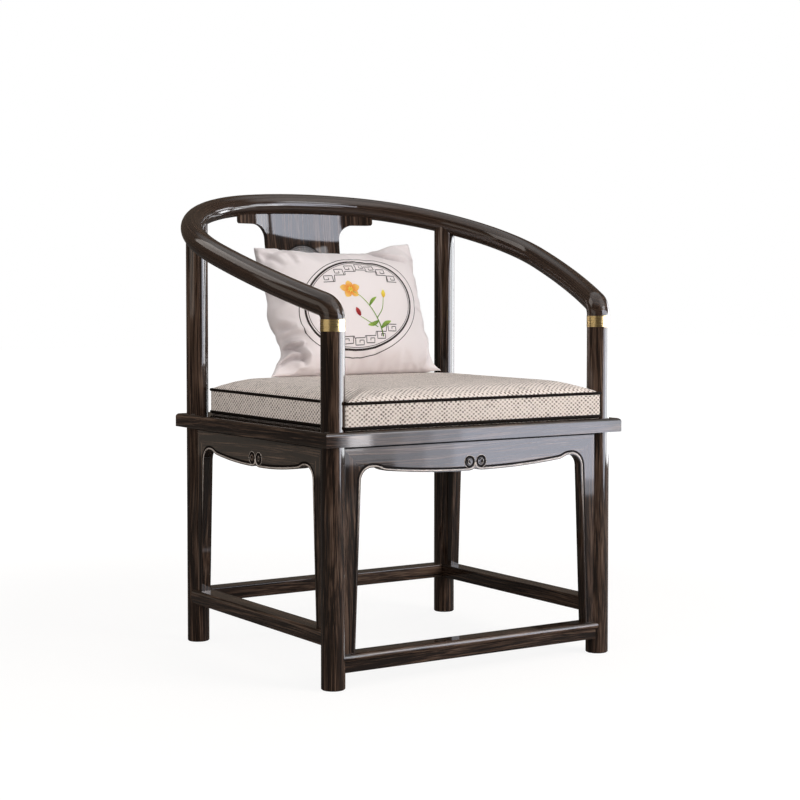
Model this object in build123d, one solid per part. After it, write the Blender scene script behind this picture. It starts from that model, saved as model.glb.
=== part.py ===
from build123d import *
import os
from math import acos, asin, atan2, cos, degrees, hypot, pi, radians, sin, tan

# Horseshoe back armchair of joined hardwood. Round posts run from the floor through a
# mitred seat frame; the back pair and the front pair carry one bent crest rail, made of a
# back member and two arms that meet in pinned lap joints. Arched aprons with side boards
# and stretchers brace the legs. A loose box cushion and a loose pillow lie on the seat.
#
# Millimetres. The front is -Y, +X is the chair's right side seen from the front, +Z is up
# and the floor is z = 0. Pieces are drawn about the centre of the four posts and are moved
# at the end, so that the origin lies under the middle of the whole chair.

# ---------------------------------------------------------------- driving dimensions
# posts
post_diameter = 40.0
post_span_x = 552.0            # between post axes, left to right
post_span_y = 484.0            # between post axes, front to back
foot_chamfer = 1.5

# seat frame and panel
seat_height = 421.0            # top of the seat frame
frame_thickness = 24.0
frame_overhang = 30.0          # outer edge beyond the post axes
frame_member_width = 62.0
frame_edge_radius = 6.0
panel_thickness = 11.0
panel_recess = 1.0             # panel surface below the top of the frame
tongue_thickness = 5.0
tongue_length = 8.0
batten_width = 34.0
batten_height = 16.0
batten_spacing = 190.0
batten_tenon_length = 14.0
batten_tenon_height = 8.0

# aprons and side boards, one face between each pair of legs; the back has a plain apron
board_thickness = 18.0
board_face_offset = 11.0       # outer face of a board outside the post axes
apron_depth = 53.5             # below the seat frame, at the middle
apron_shoulder_depth = 44.5    # below the seat frame, where the arch begins to rise
arch_depth = 37.5              # below the seat frame, at the top of the arch
arch_top_inset = 71.0          # arch top from the post axis
arch_shoulder_inset = 98.0     # start of the rise from the post axis
arch_corner_radius = 21.0
cusp_width = 28.0              # middle cusp of the apron
cusp_height = 4.5
side_board_top_width = 47.5    # from the post axis to the inner edge, at the arch
side_board_foot_width = 35.5   # the same at the stretcher
back_apron_depth = 45.0

# stretchers
stretcher_depth = 34.0
stretcher_crown = 1.8          # outer face bulges past half the depth
front_stretcher_height = 30.0
front_stretcher_top = 57.0
front_stretcher_nose = 13.0    # height of the rounded upper part
front_stretcher_setback = 3.0  # lower part stands back from the nose
side_stretcher_height = 25.0
side_stretcher_top = 97.0
stretcher_edge_radius = 2.0
stretcher_tenon_width = 12.0
stretcher_tenon_margin = 6.0   # shoulder above and below the tenon
tenon_end_gap = 7.0            # end of a tenon from the post axis

# crest rail: a plane horseshoe of tangent arcs, tilted up towards the back
rail_diameter = 40.0
rail_tilt = 18.3               # degrees
rail_back_overhang = 102.0     # centre line behind the back post axes
rail_back_height = 815.5       # centre line at the back
rail_back_radius = 515.0
rail_corner_radius = 297.0
rail_arm_radius = 1150.0
rail_post_inset = 2.5          # centre line inside the back post axes
elbow_leg = 18.5               # the elbow's bend begins this far from the post axis
post_tenon_diameter = 18.0
post_tenon_length = 20.0

# pinned lap joints of the crest rail
lap_advance = 16.8             # degrees round the corner arc, to the middle of the lap
lap_length = 72.0
pin_width = 9.0
pin_thickness = 6.0
pin_taper = 1.2                # degrees

# brass ferrules
ferrule_height = 19.5
ferrule_wall = 2.3
ferrule_inner_diameter = 36.0

# back splat: an S-curved board, bowed in plan as much as its upper half leans
splat_thickness = 12.0
splat_foot_offset = 10.0       # front face behind the back post axes, at the seat
splat_lean = 86.0              # front face, top behind foot
splat_half_width = 82.0
splat_foot_half_width = 74.0
ear_half_width = 149.0
ear_height = 22.0
ear_corner_radius = 5.0
ear_throat_radius = 29.0
splat_top_below_rail = 18.0    # top edge below the centre line of the rail
splat_tenon_half_width = 60.0
splat_tenon_length = 10.0
medallion_diameter = 92.0
medallion_relief = 1.5
medallion_height = 688.0

# seat cushion
cushion_half_width = 264.5
cushion_front_lap = 21.0       # front face ahead of the front post axes
cushion_back_inset = 25.0      # back face ahead of the back post axes
cushion_edge_height = 45.0     # side walls, up to the rounded rim
cushion_rim_radius = 8.0
cushion_crown = 14.0           # rise of the top from front to back, above the rim
cushion_cross_crown = 18.0     # rise of the top from side to side
soft_gap = 0.4                 # soft pieces stay this far from what they rest on

# throw pillow, leaning on the splat
pillow_width = 372.0
pillow_height = 280.0
pillow_thickness = 122.0
pillow_fullness = 16.0         # how much thicker its section is from side to side
pillow_edge_thickness = 14.0
pillow_offset_x = 25.0
pillow_lean = 21.0             # degrees
settling_slope = 30.0          # degrees, path down along the splat, from upright

# ---------------------------------------------------------------- worked out from them
post_radius = post_diameter / 2
post_x = post_span_x / 2
post_y = post_span_y / 2
frame_bottom = seat_height - frame_thickness
frame_half_x = post_x + frame_overhang
frame_half_y = post_y + frame_overhang
panel_top = seat_height - panel_recess
panel_bottom = panel_top - panel_thickness
reach = 2000.0                 # longer than the chair, for cutting bodies
splat_spare_angle = 2.0        # bow turned past the ears, before the outline cuts it
settling_steps = 4
settling_rounds = 2

# crest rail in its own plane: u to the right, v up the slope, origin at the middle back
rail_radius = rail_diameter / 2
rail_back_y = post_y + rail_back_overhang
tilt = radians(rail_tilt)
rail_plane = Plane(
    origin=(0, rail_back_y, rail_back_height),
    x_dir=(1, 0, 0),
    z_dir=(0, -sin(tilt), cos(tilt)),
)


def slope_position(y):
    """Position v on the rail's plane of a chair coordinate y."""
    return (y - rail_back_y) / cos(tilt)


def arc_point(centre, radius, angle):
    """Point of a rail arc, the angle counted from straight back towards the right."""
    return Vector(centre.X + radius * sin(angle), centre.Y + radius * cos(angle))


def bearing(direction):
    """Angle of a direction, counted as in arc_point."""
    return atan2(direction.X, direction.Y)


def opposite_angle(side, first, second):
    """Angle of a triangle between its first and second side."""
    return acos((first**2 + second**2 - side**2) / (2 * first * second))


# the corner arc continues the back arc and passes over the back post
back_centre = Vector(0, -rail_back_radius)
over_back_post = Vector(post_x - rail_post_inset, slope_position(post_y))
to_back_post = over_back_post - back_centre
corner_step = rail_back_radius - rail_corner_radius
back_angle = bearing(to_back_post) - opposite_angle(
    rail_corner_radius, corner_step, to_back_post.length
)
corner_centre = arc_point(back_centre, corner_step, back_angle)

# the arm arc continues the corner arc and ends at the elbow over the front post
over_front_post = Vector(post_x, slope_position(-post_y))
to_front_post = over_front_post - corner_centre
arm_step = rail_arm_radius - rail_corner_radius
elbow_distance = hypot(rail_arm_radius, elbow_leg)
corner_end_angle = bearing(to_front_post) - pi + opposite_angle(
    elbow_distance, arm_step, to_front_post.length
)
arm_centre = arc_point(corner_centre, -arm_step, corner_end_angle)
arm_end_angle = bearing(over_front_post - arm_centre) - atan2(elbow_leg, rail_arm_radius)
arm_end = arc_point(arm_centre, rail_arm_radius, arm_end_angle)
arm_heading = (over_front_post - arm_end).normalized()
arm_tangent = rail_plane.from_local_coords(arm_heading) - rail_plane.origin
elbow_angle = acos(-arm_tangent.Z)
elbow_radius = elbow_leg / tan(elbow_angle / 2)

elbow_top = rail_plane.from_local_coords(over_front_post).Z
elbow_foot = elbow_top - elbow_leg
ferrule_bottom = elbow_foot - ferrule_height
arm_joint_height = elbow_foot - ferrule_height / 2
back_post_crossing = rail_plane.from_local_coords(
    Vector(post_x, slope_position(post_y))
).Z

# splat: two equal arcs that part from the upright at the seat and at the rail
splat_foot_y = post_y + splat_foot_offset
splat_top_y = splat_foot_y + splat_lean
splat_top = rail_back_height - splat_top_below_rail
splat_rise = splat_top - seat_height
splat_radius = (splat_lean**2 + splat_rise**2) / (4 * splat_lean)
splat_axis_y = splat_top_y - splat_radius

footprint_centre_y = (rail_back_y + rail_radius - frame_half_y) / 2


# ---------------------------------------------------------------- shared tools
def upright(x, y, radius, low, high):
    """Round bar standing at x, y between two heights."""
    bar = Cylinder(radius, high - low, align=(Align.CENTER, Align.CENTER, Align.MIN))
    return Pos(x, y, low) * bar


def legs_of_a_face(half_span):
    """The two posts at the ends of one face, in the face's own frame."""
    return [upright(side * half_span, 0, post_radius, 0, seat_height) for side in (-1, 1)]


# each face of the base: name, turn about Z, half span between its posts, its place
faces = {
    "front": (0, post_x, (0, -post_y)),
    "right": (90, post_y, (post_x, 0)),
    "back": (180, post_x, (0, post_y)),
    "left": (270, post_y, (-post_x, 0)),
}


def on_face(face, piece):
    """Carry a piece drawn along X, outer side towards -Y, to a face of the base."""
    turn, _, (x, y) = faces[face]
    return Pos(x, y, 0) * Rot(0, 0, turn) * piece


# ---------------------------------------------------------------- crest rail
def rail_section(centre, radius, angle, part):
    """Round section of the rail; part is whole, upper or lower."""
    spot = arc_point(centre, radius, angle)
    plane = Plane(
        origin=(spot.X, spot.Y, 0),
        x_dir=(sin(angle), cos(angle), 0),
        z_dir=(cos(angle), -sin(angle), 0),
    )
    section = Circle(rail_radius)
    if part != "whole":
        side = Align.MIN if part == "upper" else Align.MAX
        section &= Rectangle(2 * rail_diameter, rail_diameter, align=(Align.CENTER, side))
    return plane * section


def rail_arc(centre, radius, start, end, part="whole"):
    """Stretch of rail along one arc, in the rail's own plane."""
    axis = Axis((centre.X, centre.Y, 0), (0, 0, -1))
    section = rail_section(centre, radius, start, part)
    return revolve(section, axis, degrees(end - start))


lap_middle = back_angle + radians(lap_advance)
lap_half_angle = lap_length / 2 / rail_corner_radius
lap_start = lap_middle - lap_half_angle
lap_end = lap_middle + lap_half_angle


def wedge_pin():
    """Tapered pin through the middle of the right-hand lap, trimmed to the round."""
    spot = arc_point(corner_centre, rail_corner_radius, lap_middle)
    foot = Plane(
        origin=(spot.X, spot.Y, -rail_radius),
        x_dir=(cos(lap_middle), -sin(lap_middle), 0),
        z_dir=(0, 0, 1),
    )
    blank = extrude(foot * Rectangle(pin_thickness, pin_width), rail_diameter, taper=pin_taper)
    return blank & rail_arc(corner_centre, rail_corner_radius, lap_start, lap_end)


def rail_back_half():
    """Right half of the back member; its lap keeps the lower half of the round."""
    half = rail_arc(back_centre, rail_back_radius, 0, back_angle)
    half += rail_arc(corner_centre, rail_corner_radius, back_angle, lap_start)
    half += rail_arc(corner_centre, rail_corner_radius, lap_start, lap_end, "lower")
    return half - wedge_pin()


def elbow():
    """Tight bend that turns the right arm down onto the front post."""
    start = rail_plane.from_local_coords(arm_end)
    down = Vector(0, 0, -1)
    inward = (down - arm_tangent * down.dot(arm_tangent)).normalized()
    section = Plane(origin=start, x_dir=inward, z_dir=arm_tangent) * Circle(rail_radius)
    axis = Axis(start + inward * elbow_radius, arm_tangent.cross(inward))
    bend = revolve(section, axis, degrees(elbow_angle))
    spigot = upright(
        post_x, -post_y, ferrule_inner_diameter / 2, arm_joint_height, elbow_foot
    )
    return bend + spigot


def front_post_tenon():
    return upright(
        post_x,
        -post_y,
        post_tenon_diameter / 2,
        arm_joint_height,
        arm_joint_height + post_tenon_length,
    )


def back_post_tenon():
    return upright(
        post_x,
        post_y,
        post_tenon_diameter / 2,
        back_post_crossing - rail_radius,
        back_post_crossing - rail_radius + post_tenon_length,
    )


def right_arm():
    """Right arm; its lap keeps the upper half of the round."""
    arm = rail_arc(corner_centre, rail_corner_radius, lap_start, lap_end, "upper")
    arm += rail_arc(corner_centre, rail_corner_radius, lap_end, corner_end_angle)
    arm += rail_arc(arm_centre, rail_arm_radius, corner_end_angle, arm_end_angle)
    arm = rail_plane.location * (arm - wedge_pin())
    return arm + elbow() - front_post_tenon() - back_post_tenon()


def crest_rail_back():
    half = rail_plane.location * rail_back_half()
    return half + mirror(half, about=Plane.YZ)


def wedge_pins():
    pin = rail_plane.location * wedge_pin()
    return Compound(children=[pin.solid(), mirror(pin, about=Plane.YZ).solid()])


def ferrule():
    """Brass sleeve round the joint of the right front post and arm."""
    inner = ferrule_inner_diameter / 2
    sleeve = upright(post_x, -post_y, inner + ferrule_wall, ferrule_bottom, elbow_foot)
    return sleeve - upright(post_x, -post_y, inner, ferrule_bottom, elbow_foot)


# ---------------------------------------------------------------- stretchers
# ends of each stretcher at which another one of the same height meets it
stretcher_neighbours = {"front": (), "right": (1,), "back": (-1, 1), "left": (-1,)}


def stretcher_profile(face):
    """Section of a stretcher in the YZ plane, outer side towards -Y."""
    half = stretcher_depth / 2
    if face == "front":
        top = front_stretcher_top
        bottom = top - front_stretcher_height
        nose_foot = top - front_stretcher_nose
        body = Polyline(
            (-half + front_stretcher_setback, nose_foot),
            (-half + front_stretcher_setback, bottom),
            (half, bottom),
            (half, top),
            (-half + front_stretcher_nose / 2, top),
        )
        nose = TangentArc(body @ 1, body @ 0, tangent=(-1, 0))
        return make_face([body, nose])
    top = side_stretcher_top
    bottom = top - side_stretcher_height
    body = Polyline((-half, bottom), (half, bottom), (half, top), (-half, top))
    crown = ThreePointArc(
        (-half, top), (-half - stretcher_crown, (top + bottom) / 2), (-half, bottom)
    )
    section = make_face([body, crown])
    return fillet(section.vertices(), stretcher_edge_radius)


def stretcher_tenons(face):
    """The two tenons of a stretcher, in the face's own frame."""
    half_span = faces[face][1]
    top = front_stretcher_top if face == "front" else side_stretcher_top
    full = front_stretcher_height if face == "front" else side_stretcher_height
    height = full - 2 * stretcher_tenon_margin
    length = post_radius - tenon_end_gap
    tenon = Box(length, stretcher_tenon_width, height)
    middle = half_span - tenon_end_gap - length / 2
    return [Pos(side * middle, 0, top - full / 2) * tenon for side in (-1, 1)]


def stretcher_mitres(face):
    """Corners taken off a stretcher where one at the same height meets it inside a leg."""
    half_span = faces[face][1]
    corners = []
    for side in stretcher_neighbours[face]:
        triangle = make_face(
            Polyline(
                (side * half_span, 0),
                (side * half_span, stretcher_depth),
                (side * (half_span - stretcher_depth), stretcher_depth),
                close=True,
            )
        )
        corners.append(extrude(triangle, seat_height))
    return corners


def stretcher(face):
    """Stretcher coped to the round legs, with a tenon at each end."""
    half_span = faces[face][1]
    section = Plane.YZ.offset(-half_span) * stretcher_profile(face)
    bar = extrude(section, 2 * half_span)
    bar = bar - legs_of_a_face(half_span) - stretcher_mitres(face) + stretcher_tenons(face)
    return on_face(face, bar)


# ---------------------------------------------------------------- aprons, side boards
def board_outline(face):
    """Arched board between two legs, whole, in the XZ plane of its face."""
    half_span = faces[face][1]
    foot = front_stretcher_top if face == "front" else side_stretcher_top
    low = frame_bottom - apron_depth
    arch_top = frame_bottom - arch_depth
    cusp = Vector(0, low + cusp_height)
    cusp_end = Vector(cusp_width / 2, low)
    shoulder = Vector(half_span - arch_shoulder_inset, frame_bottom - apron_shoulder_depth)
    crest = Vector(half_span - arch_top_inset, arch_top)
    lobe = TangentArc(cusp_end, cusp, tangent=(-1, 0))
    lower = TangentArc(cusp_end, shoulder, tangent=(1, 0))
    run = (crest.X - shoulder.X) / 2
    rise = Bezier(shoulder, shoulder + (lower % 1) * run, crest - Vector(run, 0), crest)
    inner = FilletPolyline(
        crest,
        (half_span - side_board_top_width, arch_top),
        (half_span - side_board_foot_width, foot),
        radius=arch_corner_radius,
    )
    outer = Polyline(inner @ 1, (half_span, foot), (half_span, frame_bottom), (0, frame_bottom))
    half = [lobe, lower, rise, inner, outer]
    closing = Line((0, frame_bottom), cusp)
    right = make_face(half + [closing])
    return right + mirror(right, about=Plane.YZ)


def mitre_cut(face, side):
    """Region outside the mitre that parts the apron from one side board."""
    corner = Vector(faces[face][1] - side_board_top_width, frame_bottom - arch_depth)
    cut = make_face(
        Polyline(
            corner - Vector(reach, reach),
            corner + Vector(reach, reach),
            corner + Vector(reach, -reach),
            close=True,
        )
    )
    return cut if side > 0 else mirror(cut, about=Plane.YZ)


def board(face, outline):
    """Give an outline the board's thickness and cope it to the legs."""
    plane = Plane.XZ.offset(board_face_offset)
    solid = extrude(plane * outline, -board_thickness)
    return on_face(face, solid - legs_of_a_face(faces[face][1]))


def apron(face):
    """Board under the seat frame: arched and mitred to its side boards, plain at the back."""
    if face == "back":
        middle = frame_bottom - back_apron_depth / 2
        return board(face, Pos(0, middle) * Rectangle(2 * faces[face][1], back_apron_depth))
    return board(face, board_outline(face) - mitre_cut(face, -1) - mitre_cut(face, 1))


def side_board(face, side):
    half_span = faces[face][1]
    window = Pos(side * half_span, 0) * Rectangle(half_span, reach)
    return board(face, board_outline(face) & mitre_cut(face, side) & window)


# ---------------------------------------------------------------- posts
def post_mortises(x, y):
    """Stretcher tenons that enter the post at x, y."""
    entering = []
    for face, (_, _, (face_x, face_y)) in faces.items():
        if face_x * x > 0 or face_y * y > 0:
            entering += [on_face(face, tenon) for tenon in stretcher_tenons(face)]
    return entering


def chamfered_foot(post):
    ground_edge = post.edges().sort_by(Axis.Z)[0]
    return chamfer(ground_edge, foot_chamfer)


def right_front_post():
    """Front post, stepped inside the ferrule and tenoned into the arm."""
    post = chamfered_foot(upright(post_x, -post_y, post_radius, 0, ferrule_bottom))
    post += upright(
        post_x, -post_y, ferrule_inner_diameter / 2, ferrule_bottom, arm_joint_height
    )
    return post + front_post_tenon() - post_mortises(post_x, -post_y)


def right_back_post():
    """Back post, coped under the crest rail and tenoned into it."""
    post = chamfered_foot(upright(post_x, post_y, post_radius, 0, back_post_crossing))
    whole_rail = rail_plane.location * rail_arc(
        corner_centre, rail_corner_radius, lap_end, corner_end_angle
    )
    post -= whole_rail
    post = post.solids().sort_by(SortBy.VOLUME)[-1]
    return post + back_post_tenon() - post_mortises(post_x, post_y)


# ---------------------------------------------------------------- seat
def seat_panel():
    """Floating panel with a tongue all round."""
    inner_x = frame_half_x - frame_member_width
    inner_y = frame_half_y - frame_member_width
    middle = (panel_top + panel_bottom) / 2
    field = Pos(0, 0, middle) * Box(2 * inner_x, 2 * inner_y, panel_thickness)
    tongue = Box(
        2 * (inner_x + tongue_length), 2 * (inner_y + tongue_length), tongue_thickness
    )
    return field + Pos(0, 0, middle) * tongue


def batten(side):
    """Cross batten under the panel, tenoned into the front and back frame members."""
    length = 2 * (frame_half_y - frame_member_width)
    top = panel_bottom
    bar = Box(
        batten_width, length, batten_height, align=(Align.CENTER, Align.CENTER, Align.MAX)
    )
    tenon = Box(batten_width, length + 2 * batten_tenon_length, batten_tenon_height)
    tenon_middle = (frame_bottom + panel_bottom) / 2
    blank = Pos(0, 0, top) * bar + Pos(0, 0, tenon_middle) * tenon
    return Pos(side * batten_spacing / 2, 0, 0) * blank


def frame_member(face):
    """Mitred member of the seat frame, top outer edge rounded, grooved for the panel."""
    turn, _, _ = faces[face]
    along, across = frame_half_x, frame_half_y
    if face in ("left", "right"):
        along, across = across, along
    section = Pos(-across, frame_bottom) * Rectangle(
        frame_member_width, frame_thickness, align=Align.MIN
    )
    rounded = section.vertices().filter_by(lambda corner: corner.X < -across + 1).sort_by(Axis.Y)[-1]
    section = fillet(rounded, frame_edge_radius)
    bar = extrude(Plane.YZ.offset(-along) * section, 2 * along)
    inner = frame_member_width
    plan = make_face(
        Polyline(
            (-along, -across),
            (along, -across),
            (along - inner, -across + inner),
            (-along + inner, -across + inner),
            close=True,
        )
    )
    bar &= extrude(plan, seat_height)
    bar = Rot(0, 0, turn) * bar
    posts = [
        upright(x, y, post_radius, 0, seat_height)
        for x in (-post_x, post_x)
        for y in (-post_y, post_y)
    ]
    bar = bar - posts - seat_panel() - batten(-1) - batten(1)
    return bar - splat_blank() if face == "back" else bar


# ---------------------------------------------------------------- back splat
def splat_side_profile(relief=0.0):
    """S-curved strip in the YZ plane at the middle of the splat, of even thickness."""
    middle = Vector(splat_foot_y + splat_lean / 2, seat_height + splat_rise / 2)
    forwards = (Vector(splat_axis_y, splat_top) - middle).normalized()
    strip = []
    for depth in (-relief, splat_thickness):
        bend = middle - forwards * depth
        foot = Vector(splat_foot_y + depth, seat_height)
        top = Vector(splat_top_y + depth, splat_top)
        strip += [TangentArc(foot, bend, tangent=(0, 1)), TangentArc(top, bend, tangent=(0, -1))]
    strip.append(Line(strip[0] @ 0, strip[2] @ 0))
    strip.append(Line(strip[1] @ 0, strip[3] @ 0))
    return make_face(strip)


def bowed(profile):
    """Turn a side profile about the upright axis of the splat's plan curve."""
    sweep = 2 * degrees(asin(ear_half_width / splat_radius)) + splat_spare_angle
    turned = revolve(Pos(0, -splat_axis_y, 0) * (Plane.YZ * profile), Axis.Z, sweep)
    return Pos(0, splat_axis_y, 0) * Rot(0, 0, -sweep / 2) * turned


def splat_outline():
    """Front view of the splat: tapering body, wide ears, tenon at the foot."""
    ear_low = splat_top - ear_height
    half = Polyline(
        (0, seat_height - splat_tenon_length),
        (splat_tenon_half_width, seat_height - splat_tenon_length),
        (splat_tenon_half_width, seat_height),
        (splat_foot_half_width, seat_height),
        (splat_half_width, ear_low),
        (ear_half_width, ear_low),
        (ear_half_width, splat_top),
        (0, splat_top),
        close=True,
    )
    face = make_face(half)
    throat = face.vertices().sort_by_distance((splat_half_width, ear_low))[0]
    face = fillet(throat, ear_throat_radius)
    tip = face.vertices().sort_by_distance((ear_half_width, ear_low))[0]
    face = fillet(tip, ear_corner_radius)
    return face + mirror(face, about=Plane.YZ)


def splat_foot():
    """Straight tenon under the splat, in the line of its plan curve."""
    front = splat_foot_y - splat_axis_y
    ring = Circle(front + splat_thickness) - Circle(front)
    foot = extrude(ring, splat_tenon_length)
    return Pos(0, splat_axis_y, seat_height - splat_tenon_length) * foot


def splat_blank():
    """Splat before it is fitted to the crest rail."""
    outline = extrude(Plane.XZ * splat_outline(), -reach)
    body = (bowed(splat_side_profile()) + splat_foot()) & outline
    disc = Pos(0, 0, medallion_height) * Rot(90, 0, 0) * Cylinder(
        medallion_diameter / 2, reach
    )
    return body + (bowed(splat_side_profile(medallion_relief)) & disc)


def back_splat():
    return splat_blank() - crest_rail_back()


# ---------------------------------------------------------------- soft pieces
def crowned(half_length, low, edge, crown):
    """Upright section with a domed top and rounded shoulders, centred on its plane."""
    sides = Polyline(
        (-half_length, edge), (-half_length, low), (half_length, low), (half_length, edge)
    )
    dome = ThreePointArc((half_length, edge), (0, crown), (-half_length, edge))
    section = make_face([sides, dome])
    return fillet(section.vertices().group_by(Axis.Y)[-1], cushion_rim_radius)


def seat_cushion():
    """Box cushion with a crowned top, hollowed at the front corners for the posts."""
    front = -post_y - cushion_front_lap
    back = post_y - cushion_back_inset
    low = seat_height + soft_gap
    edge = low + cushion_edge_height + cushion_rim_radius
    middle = (front + back) / 2
    wide = crowned(cushion_half_width, low, edge, edge + cushion_cross_crown)
    deep = crowned((back - front) / 2, low, edge, edge + cushion_crown)
    cushion = extrude(Plane.XZ * wide, reach, both=True)
    cushion &= Pos(0, middle, 0) * extrude(Plane.YZ * deep, reach, both=True)
    for x in (-post_x, post_x):
        cushion -= upright(x, -post_y, post_radius + soft_gap, 0, reach)
    return cushion


def lens(half_length, thickness):
    """Section of the pillow from seam to seam."""
    half_edge = pillow_edge_thickness / 2
    half_full = thickness / 2
    front = ThreePointArc((-half_length, -half_edge), (0, -half_full), (half_length, -half_edge))
    back = ThreePointArc((-half_length, half_edge), (0, half_full), (half_length, half_edge))
    ends = [
        Line((side * half_length, -half_edge), (side * half_length, half_edge))
        for side in (-1, 1)
    ]
    return make_face([front, back] + ends)


def settled(piece, support, direction):
    """Slide a soft piece along a direction until it almost touches its support."""
    for _ in range(settling_steps):
        room = piece.distance_to(support) - soft_gap
        piece = Pos(direction * room) * piece
    return piece


def throw_pillow():
    """Plump pillow that stands on the cushion and leans back against the splat."""
    wide = lens(pillow_width / 2, pillow_thickness + pillow_fullness)
    tall = lens(pillow_height / 2, pillow_thickness)
    pillow = extrude(wide, reach, both=True)
    pillow &= extrude(Plane.ZY * tall, reach, both=True)
    start_y = splat_foot_y - pillow_thickness / 2
    cushion_height = cushion_edge_height + cushion_rim_radius + cushion_crown
    start_z = seat_height + cushion_height + pillow_height / 2
    pillow = Pos(pillow_offset_x, start_y, start_z) * Rot(-pillow_lean, 0, 0) * pillow
    slope = radians(settling_slope)
    back, down = Vector(0, 1, 0), Vector(0, -sin(slope), -cos(slope))
    splat, cushion = back_splat(), seat_cushion()
    pillow = settled(pillow, splat, back)
    for _ in range(settling_rounds):
        pillow = settled(settled(pillow, cushion, down), splat, back)
    return pillow


# ---------------------------------------------------------------- the chair
def chair():
    """Every piece of the chair by name."""
    left = Plane.YZ
    arm = right_arm()
    front_post = right_front_post()
    back_post = right_back_post()
    sleeve = ferrule()
    pieces = {
        "front_left_post": mirror(front_post, about=left),
        "front_right_post": front_post,
        "back_left_post": mirror(back_post, about=left),
        "back_right_post": back_post,
        "crest_rail_back": crest_rail_back(),
        "crest_rail_left_arm": mirror(arm, about=left),
        "crest_rail_right_arm": arm,
        "rail_wedge_pins": wedge_pins(),
        "left_ferrule": mirror(sleeve, about=left),
        "right_ferrule": sleeve,
        "back_splat": back_splat(),
        "seat_panel": seat_panel(),
        "left_seat_batten": batten(-1),
        "right_seat_batten": batten(1),
        "seat_cushion": seat_cushion(),
        "throw_pillow": throw_pillow(),
    }
    ends = {
        "front": {-1: "left", 1: "right"},
        "right": {-1: "front", 1: "back"},
        "back": {-1: "right", 1: "left"},
        "left": {-1: "back", 1: "front"},
    }
    for face, end_names in ends.items():
        pieces[f"{face}_frame_member"] = frame_member(face)
        pieces[f"{face}_stretcher"] = stretcher(face)
        pieces[f"{face}_apron"] = apron(face)
        if face != "back":
            for side, end in end_names.items():
                pieces[f"{face}_{end}_side_board"] = side_board(face, side)
    return pieces


os.makedirs("parts", exist_ok=True)
for name, piece in chair().items():
    export_step(Pos(0, -footprint_centre_y, 0) * piece, f"parts/{name}.step")
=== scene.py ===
import math

import bpy
import numpy as np
from mathutils import Matrix, Vector
from mathutils.bvhtree import BVHTree


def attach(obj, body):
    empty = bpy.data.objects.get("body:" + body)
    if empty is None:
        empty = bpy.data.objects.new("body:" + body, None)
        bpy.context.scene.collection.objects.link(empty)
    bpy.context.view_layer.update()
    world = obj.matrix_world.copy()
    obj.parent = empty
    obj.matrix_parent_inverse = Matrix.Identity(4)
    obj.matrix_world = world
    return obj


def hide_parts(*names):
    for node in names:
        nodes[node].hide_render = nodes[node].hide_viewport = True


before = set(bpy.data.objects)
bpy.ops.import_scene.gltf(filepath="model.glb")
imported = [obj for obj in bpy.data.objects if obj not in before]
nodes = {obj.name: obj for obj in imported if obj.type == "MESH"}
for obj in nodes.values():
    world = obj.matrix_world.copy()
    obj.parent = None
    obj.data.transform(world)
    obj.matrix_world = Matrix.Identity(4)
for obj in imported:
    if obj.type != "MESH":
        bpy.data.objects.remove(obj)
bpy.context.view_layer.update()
print("frame loaded:", len(nodes), "nodes")

mm = 0.001


# the camera stands ahead of the left arm, a little above the seat
viewpoint = {
    "place": (-1.7753, -2.7833, 0.6626),
    "heading": 33.143,     # degrees, from straight ahead towards the chair's right
    "dip": 2.469,
    "focal": 81.012,
    "rise": -0.05,
}


def makeCamera(spec):
    data = bpy.data.cameras.new("viewCamera")
    data.sensor_width = 36.0
    data.lens = spec["focal"]
    data.shift_y = spec["rise"]
    data.clip_end = 60.0
    camera = bpy.data.objects.new("viewCamera", data)
    camera.location = spec["place"]
    camera.rotation_euler = (math.radians(90.0 - spec["dip"]), 0.0, math.radians(-spec["heading"]))
    bpy.context.scene.collection.objects.link(camera)
    bpy.context.scene.camera = camera


makeCamera(viewpoint)
print("camera placed")


# small tools for meshes

def meshObject(name, verts, faces, material=None):
    mesh = bpy.data.meshes.new(name)
    mesh.from_pydata([tuple(v) for v in verts], [], [tuple(f) for f in faces])
    mesh.update()
    mesh.polygons.foreach_set("use_smooth", [True] * len(mesh.polygons))
    piece = bpy.data.objects.new(name, mesh)
    bpy.context.scene.collection.objects.link(piece)
    if material:
        mesh.materials.append(material)
    return piece


def vertexArray(piece):
    flat = np.zeros(len(piece.data.vertices) * 3)
    piece.data.vertices.foreach_get("co", flat)
    return flat.reshape(-1, 3)


def setVertices(piece, points):
    piece.data.vertices.foreach_set("co", np.asarray(points, float).ravel())
    piece.data.update()


def applyModifiers(piece):
    depsgraph = bpy.context.evaluated_depsgraph_get()
    mesh = bpy.data.meshes.new_from_object(piece.evaluated_get(depsgraph))
    old = piece.data
    piece.modifiers.clear()
    piece.data = mesh
    bpy.data.meshes.remove(old)
    mesh.name = piece.name


def smoothUp(piece):
    subsurf = piece.modifiers.new("smooth", "SUBSURF")
    subsurf.levels = subsurf.render_levels = 1
    applyModifiers(piece)
    piece.data.polygons.foreach_set("use_smooth", [True] * len(piece.data.polygons))


def surfaceOf(piece):
    points = vertexArray(piece)
    return BVHTree.FromPolygons([Vector(p) for p in points], [p.vertices[:] for p in piece.data.polygons])


def evenly(points, step, closed=True):
    # the same line with its points about a step apart
    line = [np.array(p, float) for p in points]
    if closed:
        line.append(line[0])
    out = []
    for a, b in zip(line[:-1], line[1:]):
        count = max(1, int(round(np.linalg.norm(b - a) / step)))
        out += [a + (b - a) * i / count for i in range(count)]
    if not closed:
        out.append(line[-1])
    return out


def arcPoints(centre, radius, start, end, count):
    angles = np.radians(np.linspace(start, end, count))
    return [(centre[0] + radius * math.cos(a), centre[1] + radius * math.sin(a)) for a in angles]


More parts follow.
